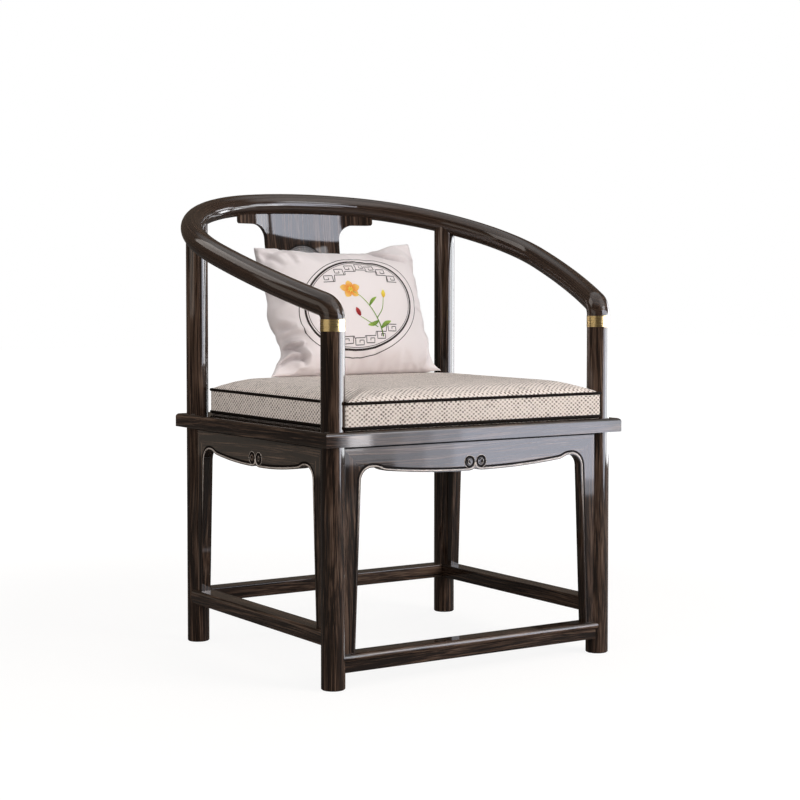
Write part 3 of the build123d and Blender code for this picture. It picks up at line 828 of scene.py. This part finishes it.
def makeCushion(spec, baseShadeFinish):
    xs = gridLines(-spec["halfWidth"], spec["halfWidth"], spec)
    ys = gridLines(spec["front"], spec["back"], spec)
    columns, rows = len(xs) - 1, len(ys) - 1
    verts, faces, uvs = [], [], []
    top, bottom = {}, {}
    for j, y in enumerate(ys):
        for i, x in enumerate(xs):
            px, py = cushionPlan(x, y, spec)
            rim = i in (0, columns) or j in (0, rows)
            top[i, j] = len(verts)
            verts.append((px, py, spec["edge"] + (0.0 if rim else cushionRise(px, py, spec))))
            bottom[i, j] = len(verts)
            verts.append((px, py, spec["low"]))
    for j in range(rows):
        for i in range(columns):
            corners = ((i, j), (i + 1, j), (i + 1, j + 1), (i, j + 1))
            for layer, order in ((top, corners), (bottom, corners[::-1])):
                faces.append([layer[c] for c in order])
                uvs.append([verts[layer[c]][:2] for c in order])
    loop = ([(i, 0) for i in range(columns)] + [(columns, j) for j in range(rows)]
            + [(i, rows) for i in range(columns, 0, -1)] + [(0, j) for j in range(rows, 0, -1)])
    heights = [spec["low"], *np.linspace(spec["lowSeam"], spec["edge"], spec["sideRows"])]
    band = [[bottom[c] for c in loop]]
    for z in heights[1:-1]:
        band.append([len(verts) + k for k in range(len(loop))])
        verts += [(*verts[top[c]][:2], z) for c in loop]
    band.append([top[c] for c in loop])
    around = [0.0]
    for k in range(len(loop)):
        a, b = verts[top[loop[k]]], verts[top[loop[(k + 1) % len(loop)]]]
        around.append(around[-1] + math.hypot(b[0] - a[0], b[1] - a[1]))
    bandStart = len(faces)
    for level, (lower, upper) in enumerate(zip(band[:-1], band[1:])):
        low, high = heights[level], heights[level + 1]
        for k in range(len(loop)):
            m = (k + 1) % len(loop)
            faces.append([lower[k], lower[m], upper[m], upper[k]])
            uvs.append([(around[k], low), (around[k + 1], low), (around[k + 1], high), (around[k], high)])
    piece = meshObject("boxCushion", verts, faces, makeLinen("cushionLinen", linen))
    # below the lower piping the band takes the piping's dark cloth as painted shade at the cushion's base
    piece.data.materials.append(baseShadeFinish)
    for polygon in piece.data.polygons[bandStart:bandStart + len(loop)]:
        polygon.material_index = 1
    layer = piece.data.uv_layers.new(name="weave")
    layer.data.foreach_set("uv", [value for quad in uvs for corner in quad for value in corner])
    points = vertexArray(piece)
    seams = set(band[0]) | set(band[1]) | set(band[-1]) | set(bottom.values())
    plump(piece, spec, sorted(seams))
    smoothUp(piece)
    return piece, {"lowerPiping": points[band[1]], "upperPiping": points[band[-1]]}


pipingFinish = makePiping("darkPiping", piping)
boxCushion, seamLines = makeCushion(cushion, pipingFinish)
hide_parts("seat_cushion")
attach(boxCushion, "loose_cushion")
for name, seam in seamLines.items():
    radius = cushion["pipingRadius"][name]
    cord = sweepTube(name, evenly(seam, 4.0 * mm), radius, pipingFinish, closed=True)
    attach(cord, "loose_cushion")
print("seat cushion made")


# the throw pillow: two satin panels sewn together, leaning on the splat
pillow = {
    "centre": (25.0 * mm, 172.7 * mm, 606.5 * mm),
    "lean": 21.0,
    "halfThickness": 57.0 * mm,
    "fullness": 0.46,
    "cells": (64, 48),
    "pressure": 3.0,
    "stiffness": 6.0,
    "bending": 0.05,
    "spare": 0.045,
    "steps": 26,
    "cap": 9.0 * mm,
    "gap": 0.6 * mm,         # above the cushion
    # seams in the pillow's own plane, millimetres across and up
    "topSeam": ((-172, 132), (-100, 127), (-26, 123), (30, 122), (76, 124), (130, 136), (184, 144)),
    "rightSeam": ((201, -126), (183, -107), (178, -51), (178, 23), (180, 86), (184, 144)),
    "leftSeam": ((-188, -129), (-169, -104), (-154, -77), (-159, -45), (-166, -5), (-164, 45),
                 (-172, 132)),
    "bottomSeam": ((-188, -129), (-90, -131), (20, -131), (120, -130), (201, -126)),
}

# folds of the front panel: a line, how deep and wide it is, and how far its upper lip stands up
pillowFolds = (
    (((-186, -94), (-165, -80), (-150, -75), (-130, -77)), 17.0, 3.2, 14.0),
    (((-158, -60), (-142, -54), (-122, -57)), 6.0, 4.5, 5.0),
    (((-172, -110), (-146, -98), (-122, -103)), 11.0, 4.2, 8.0),
    (((-140, -80), (-128, -92), (-122, -112)), 8.0, 4.2, 5.0),
    (((70, 128), (82, 110), (102, 97), (136, 91)), 9.0, 5.0, 7.0),
    (((-180, -28), (-160, -33), (-140, -43)), 6.0, 4.5, 4.0),
    (((-170, 118), (-150, 104), (-136, 84)), 5.0, 5.0, 3.5),
    (((-120, 122), (-112, 104), (-110, 86)), 4.0, 5.0, 3.0),
    (((140, -128), (156, -108), (164, -78)), 5.0, 6.0, 4.0),
)


def pillowPlace(spec):
    return Matrix.Translation(spec["centre"]) @ Matrix.Rotation(math.radians(-spec["lean"]), 4, "X")


def alongCurve(points, count):
    # smooth line through the given points, evenly spaced
    pts = np.array(points, float)
    ends = np.vstack([2 * pts[0] - pts[1], pts, 2 * pts[-1] - pts[-2]])
    dense = []
    for a, b, c, d in zip(ends[:-3], ends[1:-2], ends[2:-1], ends[3:]):
        for t in np.linspace(0, 1, 16, endpoint=False):
            dense.append(0.5 * (2 * b + (c - a) * t + (2 * a - 5 * b + 4 * c - d) * t ** 2
                                + (3 * b - a - 3 * c + d) * t ** 3))
    dense = np.array(dense + [pts[-1]])
    length = np.concatenate([[0], np.cumsum(np.linalg.norm(np.diff(dense, axis=0), axis=1))])
    wanted = np.linspace(0, length[-1], count)
    return np.stack([np.interp(wanted, length, dense[:, k]) for k in (0, 1)], 1)


def pillowShell(spec):
    # two panels that share their rim: x across, z up, the front towards -y
    columns, rows = spec["cells"]
    below, above = (alongCurve(spec[seam], columns + 1) for seam in ("bottomSeam", "topSeam"))
    left, right = (alongCurve(spec[seam], rows + 1) for seam in ("leftSeam", "rightSeam"))
    verts, index, rim = [], {}, []
    for side in (-1, 1):
        for j in range(rows + 1):
            for i in range(columns + 1):
                onRim = i in (0, columns) or j in (0, rows)
                if onRim and side == 1:
                    index[side, i, j] = index[-1, i, j]
                    continue
                s, t = i / columns, j / rows
                flat = ((1 - t) * below[i] + t * above[i] + (1 - s) * left[j] + s * right[j]
                        - (1 - s) * (1 - t) * below[0] - s * (1 - t) * below[-1]
                        - (1 - s) * t * above[0] - s * t * above[-1])
                dome = ((1 - (2 * s - 1) ** 2) * (1 - (2 * t - 1) ** 2)) ** spec["fullness"]
                index[side, i, j] = len(verts)
                if onRim:
                    rim.append(len(verts))
                    dome = 0.0
                verts.append((flat[0] * mm, side * dome * spec["halfThickness"], flat[1] * mm))
    faces = []
    for side in (-1, 1):
        for j in range(rows):
            for i in range(columns):
                corners = ((i, j), (i + 1, j), (i + 1, j + 1), (i, j + 1))[::-side]
                faces.append([index[side, a, b] for a, b in corners])
    return meshObject("throwPillow", verts, faces), rim


def foldPillow(piece, folds):
    # each fold is pressed in along its line, its upper lip stands up, and an attribute holds its painted
    # shade
    points = vertexArray(piece)
    flat = points[:, (0, 2)] / mm
    front = np.clip(-points[:, 1] / (12.0 * mm), 0, 1)
    push, shade = np.zeros(len(points)), np.zeros(len(points))
    for bends, depth, width, lip in folds:
        line = alongCurve(bends, 24)
        away = np.linalg.norm(flat[:, None, :] - line[None, :, :], axis=2)
        nearest = away.argmin(axis=1)
        distance = away.min(axis=1)
        above = flat[:, 1] - line[nearest, 1]
        fade = np.sin(np.pi * np.clip((nearest + 3.0) / 30.0, 0, 1)) ** 0.7
        edge = np.exp(-((distance - 1.9 * width) / (1.1 * width)) ** 2) * (above > 0)
        push += fade * (depth * np.exp(-(distance / width) ** 2) - lip * edge)
        paintedCreaseShade = np.exp(-(distance / (0.8 * width)) ** 2) + 0.55 * np.exp(-(distance / (4.5 * width)) ** 2)
        shade += fade * paintedCreaseShade * (depth / 15.0) ** 1.4
    points[:, 1] += push * front * mm
    setVertices(piece, points)
    layer = piece.data.attributes.new("paintedCreaseShade", "FLOAT", "POINT")
    layer.data.foreach_set("value", np.clip(shade, 0, 1) * front)


satin = {
    "tones": ((0.84, 0.768, 0.77), (0.90, 0.833, 0.83)),
    "thread": (0.62, 0.56, 0.55),
    "threadShare": 0.10,
    # painted shade darkens the folds
    "paintedCreaseShade": (0.36, 0.31, 0.315),
    "creaseShadeShare": 0.75,
    "weave": 2400.0,         # threads, clouds of the tone and rumples, per metre
    "clouds": 14.0,
    "rumples": 55.0,
}


def makeSatin(name, spec):
    material, tree = newMaterial(name)
    place = placeOf(tree)
    upright = vectorNode(tree, "MULTIPLY", place, (1.0, 1.0, 0.12))
    weave = noiseNode(tree, upright, spec["weave"], 1.0)
    colour = mixColours(tree, noiseNode(tree, place, spec["clouds"], 3.0, 0.55), *spec["tones"])
    threads = mathNode(tree, "MULTIPLY", weave, spec["threadShare"])
    colour = mixColours(tree, threads, colour, spec["thread"])
    # painted shade in and around the folds, from the mesh's attribute
    paintedCreaseShade = addNode(tree, "ShaderNodeAttribute", attribute_name="paintedCreaseShade").outputs["Fac"]
    paintedCreaseShade = mathNode(tree, "MULTIPLY", paintedCreaseShade, spec["creaseShadeShare"])
    colour = mixColours(tree, paintedCreaseShade, colour, spec["paintedCreaseShade"])
    rumple = mathNode(tree, "MULTIPLY_ADD", weave, 0.03, noiseNode(tree, place, spec["rumples"], 2.0))
    paint(tree, colour, 0.55, rumple, 0.25, 3.0 * mm, in_Specular_IOR_Level=0.15, in_Sheen_Weight=0.06)
    return material


def restOn(piece, support, gap):
    # points that would sink into the support are lifted onto it
    tree = surfaceOf(support)
    place = piece.matrix_world
    back = place.inverted()
    for vertex in piece.data.vertices:
        world = place @ vertex.co
        hit, _, _, _ = tree.ray_cast(Vector((world.x, world.y, 1.0)), Vector((0.0, 0.0, -1.0)))
        if hit is not None and world.z < hit.z + gap:
            vertex.co = back @ Vector((world.x, world.y, hit.z + gap))


throwPillow, pillowRim = pillowShell(pillow)
throwPillow.data.materials.append(makeSatin("pillowSatin", satin))
plump(throwPillow, pillow, pillowRim)
smoothUp(throwPillow)
foldPillow(throwPillow, pillowFolds)
throwPillow.matrix_world = pillowPlace(pillow)
bpy.context.view_layer.update()
restOn(throwPillow, boxCushion, pillow["gap"])
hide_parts("throw_pillow")
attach(throwPillow, "loose_pillow")
print("throw pillow made")


# the print on the pillow: three rings, two stepped fret bands and a small flower spray
pillowPrint = {
    "lift": 0.35 * mm,
    "rings": {
        "outer": {"centre": (4.0, -7.0), "half": (128.0, 100.0), "skew": 0.22, "line": 0.7},
        "main": {"centre": (3.0, -5.0), "half": (116.0, 90.0), "skew": 0.20, "line": 1.9},
        "inner": {"centre": (3.0, -5.0), "half": (111.5, 86.0), "skew": 0.20, "line": 0.55},
    },
    "fretLine": 0.75,
    "fretCell": 6.0,
    "fretHooks": 7,
    # one hook of the fret, in cells: it starts on the rail and turns in on itself
    "fretHook": ((0, 0), (0, 3), (3, 3), (3, 1), (1.5, 1), (1.5, 2)),
    # each ink is darkest at the root of a shape and lightest at its tip
    "inks": {
        "leaf": ((0.10, 0.20, 0.025), (0.33, 0.47, 0.08)),
        "petal": ((0.80, 0.20, 0.02), (0.90, 0.62, 0.16)),
        "bud": ((0.20, 0.008, 0.012), (0.45, 0.03, 0.03)),
        "gold": ((0.70, 0.42, 0.03), (0.88, 0.74, 0.10)),
        "ink": ((0.036, 0.026, 0.025), (0.045, 0.0325, 0.03125)),
    },
    # the spray: stems as points and half widths, leaves and buds as root, tip and width
    "stems": (
        (((40, -72), (35, -48), (22, -18), (4, 6), (-12, 18)), 20, (1.5, 1.2, 0.9, 0.7)),
        (((31, -36), (46, -18), (54, 6)), 10, (1.0, 0.7)),
    ),
    "budStem": ((30, -54), (12, -44), (-6, -33)),
    "leaves": (((37, -56), (62, -42), 8.5), ((33, -42), (8, -50), 8.0), ((18, -12), (38, 6), 6.5)),
    "buds": {"gold": ((54, 5), (58, 21), 9.0), "bud": ((-6, -32), (-12, -15), 9.5)},
    # the blossom: petals and stamens as their count, turn, start and reach off the heart, and width
    "heart": (-16, 22),
    "wheels": {"petal": (5, 20, 3, (22, 18), 15.0), "gold": (7, 0, 0, (6.5, 6.5), 2.4)},
}


def makeInk(name, deep, light):
    material, tree = newMaterial(name)
    place = addNode(tree, "ShaderNodeUVMap", uv_map="print").outputs[0]
    tone = addNode(tree, "ShaderNodeSeparateXYZ", in_Vector=place).outputs[0]
    blot = noiseNode(tree, placeOf(tree), 400.0, 2.0, 0.6)
    fac = mathNode(tree, "ADD", tone, mathNode(tree, "MULTIPLY_ADD", blot, 0.5, -0.25), clamp=True)
    paint(tree, mixColours(tree, fac, deep, light), 0.6, blot, 0.1, 0.3 * mm, in_Specular_IOR_Level=0.12)
    return material


class PrintSheet:
    # gathers flat shapes of the pillow's plane and lays them on its front

    def __init__(self, name, cloth, material, lift):
        self.name, self.material, self.lift = name, material, lift
        self.tree = surfaceOf(cloth)
        self.place = cloth.matrix_world.copy()
        self.verts, self.faces, self.tones = [], [], []

    def lay(self, across, up):
        start = Vector((across * mm, -0.2, up * mm))
        hit, normal, _, _ = self.tree.ray_cast(start, Vector((0.0, 1.0, 0.0)))
        return None if hit is None else hit + normal * self.lift

    def grid(self, rows):
        # rows of (across, up, tone)
        laid = [self.lay(p[0], p[1]) for row in rows for p in row]
        if None in laid:
            return
        self.faces += quadRows(len(rows), len(rows[0]), base=len(self.verts))
        self.verts += laid
        self.tones += [p[2] for row in rows for p in row]

    def stroke(self, line, half, closed=False, step=2.0):
        pts = np.array(evenly(line, step, closed))
        way = headings(pts, closed)
        if closed:
            pts, way = np.vstack([pts, pts[:1]]), np.vstack([way, way[:1]])
        places = np.linspace(0, 1, len(pts))
        halves = np.interp(places, np.linspace(0, 1, np.size(half)), np.atleast_1d(half))
        rows = []
        for k, (p, side) in enumerate(zip(pts, leftOf(way) * halves[:, None])):
            tone = k / len(pts)
            rows.append([(*(p + side), tone), (*(p - side), tone)])
        self.grid(rows)

    def petal(self, root, tip, width, bend=0.0):
        root, tip = np.array(root, float), np.array(tip, float)
        axis = tip - root
        side = np.array([-axis[1], axis[0]]) / np.linalg.norm(axis)
        rows = []
        for t in np.linspace(0, 1, 9):
            middle = root + axis * t + side * bend * math.sin(math.pi * t)
            half = width / 2 * math.sin(math.pi * min(t * 0.92 + 0.06, 1.0)) ** 0.75
            rows.append([(*(middle + side * half * s), t) for s in (-1, -0.5, 0, 0.5, 1)])
        self.grid(rows)

    def finish(self):
        piece = meshObject(self.name, self.verts, self.faces, self.material)
        layer = piece.data.uv_layers.new(name="print")
        for loop in piece.data.loops:
            layer.data[loop.index].uv = (self.tones[loop.vertex_index], 0.5)
        piece.matrix_world = self.place
        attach(piece, "loose_pillow")


def ringLine(ring):
    (cx, cy), (rx, ry) = ring["centre"], ring["half"]
    line = []
    for a in np.arange(120) * 2 * math.pi / 120:
        line.append((cx + rx * math.cos(a) + ring["skew"] * ry * math.sin(a), cy + ry * math.sin(a)))
    return line


def fretBand(sheet, ring, sign, spec):
    # hooks on a stepped rail that keeps inside the ring, above (1) or below (-1) its middle
    (cx, cy), (rx, ry) = ring["centre"], ring["half"]
    cell, hooks = spec["fretCell"], spec["fretHooks"]
    rise, pitch, margin = cell * 0.72, cell * 3.9, 4.0
    rail = []
    for k in range(hooks):
        across = (k - (hooks - 1) / 2) * pitch
        top = ry * math.sqrt(1 - min((abs(across) + 1.5 * cell) / rx, 1.0) ** 2) - margin
        x0, y0 = cx + ring["skew"] * sign * top + across, cy + sign * top
        turn = 1 if across >= 0 else -1
        hook = [(x0 + turn * (a - 1.5) * cell, y0 - sign * (3 - b) * rise) for a, b in spec["fretHook"]]
        sheet.stroke(hook, spec["fretLine"], step=2.5)
        foot = y0 - sign * 3 * rise
        rail += [(x0 - pitch / 2, foot), (x0 + pitch / 2, foot)]
    sheet.stroke(rail, spec["fretLine"], step=2.5)


def makePrint(cloth, spec):
    sheets = {}
    for key, tones in spec["inks"].items():
        ink = makeInk("print" + key.capitalize(), *tones)
        sheets[key] = PrintSheet("pillowPrint" + key.capitalize(), cloth, ink, spec["lift"])
    for ring in spec["rings"].values():
        sheets["ink"].stroke(ringLine(ring), ring["line"], closed=True)
    for sign in (1, -1):
        fretBand(sheets["ink"], spec["rings"]["inner"], sign, spec)
    # an arching twig with an open blossom, two buds and a few leaves
    for points, count, halves in spec["stems"]:
        sheets["leaf"].stroke(alongCurve(points, count), halves)
    for root, tip, width in spec["leaves"]:
        sheets["leaf"].petal(root, tip, width, 2.0)
    x, y = spec["heart"]
    for key, (count, turn, start, reach, width) in spec["wheels"].items():
        for k in range(count):
            a = math.radians(360 / count * k + turn)
            root = (x + start * math.cos(a), y + start * math.sin(a))
            tip = (x + reach[0] * math.cos(a), y + reach[1] * math.sin(a))
            sheets[key].petal(root, tip, width)
    for key, bud in spec["buds"].items():
        sheets[key].petal(*bud)
    sheets["leaf"].stroke(spec["budStem"], (1.0, 0.7))
    for sheet in sheets.values():
        sheet.finish()


makePrint(throwPillow, pillowPrint)
print("pillow printed")


# floor and world
studio = {
    "floorColour": (0.17, 0.159, 0.149),
    "floorHalf": 14.0,
    "floorLift": 0.88,        # added for the camera only, near the chair
    "floorFade": (0.7, 2.2),
    "ambient": 0.36,
    "darkStudio": 0.09,
    "darkTint": (1.0, 0.80, 0.62),
    # what mirror rays find: the backdrop behind the chair, a pale ceiling and a high glow;
    # degrees, and each patch fades from its first angle off the middle to its second
    "patches": (
        {"heading": viewpoint["heading"], "climb": 0.0, "edge": (24.0, 14.0), "glow": 0.07},
        {"heading": 0.0, "climb": 90.0, "edge": (52.0, 28.0), "glow": 1.0},
        {"heading": 147.0, "climb": 50.0, "edge": (36.0, 12.0), "glow": 1.7},
    ),
}


def makeFloor(spec):
    half = spec["floorHalf"]
    corners = [(-half, -half, 0), (half, -half, 0), (half, half, 0), (-half, half, 0)]
    material, tree = newMaterial("paleFloor")
    floor = meshObject("floor", corners, [(0, 1, 2, 3)], material)
    floor.location.z = -0.2 * mm
    place = placeOf(tree)
    far = operate(tree, "ShaderNodeVectorMath", "LENGTH", [place]).outputs["Value"]
    lift = spanNode(tree, far, *spec["floorFade"], spec["floorLift"], 1.0)
    seen = addNode(tree, "ShaderNodeLightPath").outputs["Is Camera Ray"]
    glow = addNode(tree, "ShaderNodeEmission", in_Strength=mathNode(tree, "MULTIPLY", lift, seen))
    low = tuple(c * 0.97 for c in spec["floorColour"])
    colour = mixColours(tree, noiseNode(tree, place, 6.0), low, spec["floorColour"])
    matt = addNode(tree, "ShaderNodeBsdfDiffuse", in_Color=colour)
    both = addNode(tree, "ShaderNodeAddShader")
    for socket, shader in zip(both.inputs, (glow, matt)):
        tree.links.new(shader.outputs[0], socket)
    addNode(tree, "ShaderNodeOutputMaterial", in_Surface=both.outputs[0])


def skyPatch(tree, way, spec):
    turn, climb = math.radians(spec["heading"]), math.radians(spec["climb"])
    middle = (math.sin(turn) * math.cos(climb), math.cos(turn) * math.cos(climb), math.sin(climb))
    nearness = operate(tree, "ShaderNodeVectorMath", "DOT_PRODUCT", [way, middle]).outputs["Value"]
    return spanNode(tree, nearness, *(math.cos(math.radians(a)) for a in spec["edge"]), 0.0, spec["glow"])


def makeWorld(spec):
    world = bpy.data.worlds.new("studio")
    bpy.context.scene.world = world
    world.use_nodes = True
    tree = world.node_tree
    tree.nodes.clear()
    rays = addNode(tree, "ShaderNodeLightPath").outputs
    seen = mathNode(tree, "MAXIMUM", rays["Is Camera Ray"], rays["Is Transmission Ray"])
    glossy = rays["Is Glossy Ray"]
    way = addNode(tree, "ShaderNodeTexCoord").outputs["Generated"]
    bright = skyPatch(tree, way, spec["patches"][0])
    for patch in spec["patches"][1:]:
        bright = mathNode(tree, "MAXIMUM", bright, skyPatch(tree, way, patch))
    mirror = mathNode(tree, "MULTIPLY", mathNode(tree, "MAXIMUM", bright, spec["darkStudio"]), glossy)
    matt = mathNode(tree, "MULTIPLY", mathNode(tree, "SUBTRACT", 1.0, glossy), spec["ambient"])
    strength = mathNode(tree, "MAXIMUM", seen, mathNode(tree, "ADD", mirror, matt))
    dim = mathNode(tree, "MULTIPLY", glossy, spanNode(tree, bright, 0.0, 0.3, 1.0, 0.0))
    glow = addNode(tree, "ShaderNodeBackground", in_Strength=strength,
                   in_Color=mixColours(tree, dim, (1.0, 1.0, 1.0), spec["darkTint"]))
    addNode(tree, "ShaderNodeOutputWorld", in_Surface=glow.outputs[0])


# place, width and height in metres, radiance, colour and the point it faces; without that point
# it stands upright and faces straight back. Lamps light the surfaces, and cards are only what
# the lacquer and the brass reflect
lamps = {
    "keyBox": ((1.40, -2.40, 1.10), (1.4, 1.6), 7.9, (1.0, 0.98, 0.96), (0.0, -0.1, 0.45)),
    "leftFill": ((-2.4, -0.9, 0.9), (2.0, 1.5), 2.2, (1.0, 0.97, 0.94), (0.0, -0.1, 0.5)),
    "topBox": ((0.3, 0.1, 2.7), (1.8, 1.8), 1.1, (1.0, 0.99, 0.98), (0.0, 0.0, 0.4)),
}
cards = {
    "leftWall": ((-2.6, -0.15, 1.08), (2.6, 1.05), 0.95, (1.0, 0.93, 0.85), (0.0, -0.1, 1.08)),
    "leftTopBox": ((-1.55, 1.15, 2.35), (1.7, 1.3), 2.0, (1.0, 0.93, 0.88), (-0.2, 0.0, 0.65)),
    "softboxEdge": ((0.79, -1.980, 0.33), (0.07, 0.24), 9.5, (1.0, 0.96, 0.98)),
    "softboxLeft": ((0.83, -1.985, 0.4825), (0.20, 0.635), 3.2, (0.93, 0.93, 1.0)),
    "softboxStep": ((0.98, -1.985, 0.4575), (0.10, 0.685), 4.2, (0.89, 0.90, 1.0)),
    "softboxRise": ((1.08, -1.985, 0.4475), (0.10, 0.705), 5.8, (0.87, 0.89, 1.0)),
    "softboxMiddle": ((1.40, -1.985, 0.4375), (0.54, 0.725), 8.2, (0.84, 0.87, 1.0)),
    "softboxRight": ((2.04, -1.985, 0.45), (0.74, 0.70), 7.2, (0.88, 0.91, 1.0)),
    "softboxFoot": ((1.50, -1.985, 0.052), (0.34, 0.045), 4.0, (0.86, 0.89, 1.0)),
    "leftFarCard": ((-1.9, 2.87, 0.055), (1.3, 0.10), 0.26, (1.0, 0.86, 0.72), (0.0, 2.87, 0.055)),
    "highBox": ((1.9, -3.0, 2.35), (1.7, 0.9), 4.5, (0.95, 0.96, 1.0), (0.0, -0.1, 0.5)),
    "splatBox": ((1.43, -1.985, 1.09), (1.98, 0.52), 7.6, (0.84, 0.88, 1.0)),
    "splatStrip": ((3.0, -1.985, 1.08), (0.79, 0.54), 9.0, (0.88, 0.92, 1.0)),
    "sideStrip": ((2.5, -0.7, 0.46), (3.2, 0.70), 10.0, (0.95, 0.97, 1.0), (0.0, -0.26, 0.46)),
    "upperStrip": ((2.75, 0.30, 1.05), (1.1, 0.50), 5.5, (0.95, 0.95, 1.0), (0.0, -0.1, 1.05)),
}


def makeLamp(name, card, place, size, glow, colour, facing=None):
    data = bpy.data.lights.new(name, "AREA")
    data.shape = "RECTANGLE"
    data.size, data.size_y = size
    data.energy = glow * math.pi * size[0] * size[1]
    data.color = colour
    lamp = bpy.data.objects.new(name, data)
    lamp.location = place
    way = Vector(facing or (place[0], 0.0, place[2])) - Vector(place)
    lamp.rotation_euler = way.to_track_quat("-Z", "Y").to_euler()
    lamp.visible_camera = False
    lamp.visible_glossy, lamp.visible_diffuse = card, not card
    bpy.context.scene.collection.objects.link(lamp)


makeFloor(studio)
makeWorld(studio)
for name, spec in (*lamps.items(), *cards.items()):
    makeLamp(name, name in cards, *spec)
bpy.context.scene.view_settings.view_transform = "Standard"
print("studio lit")
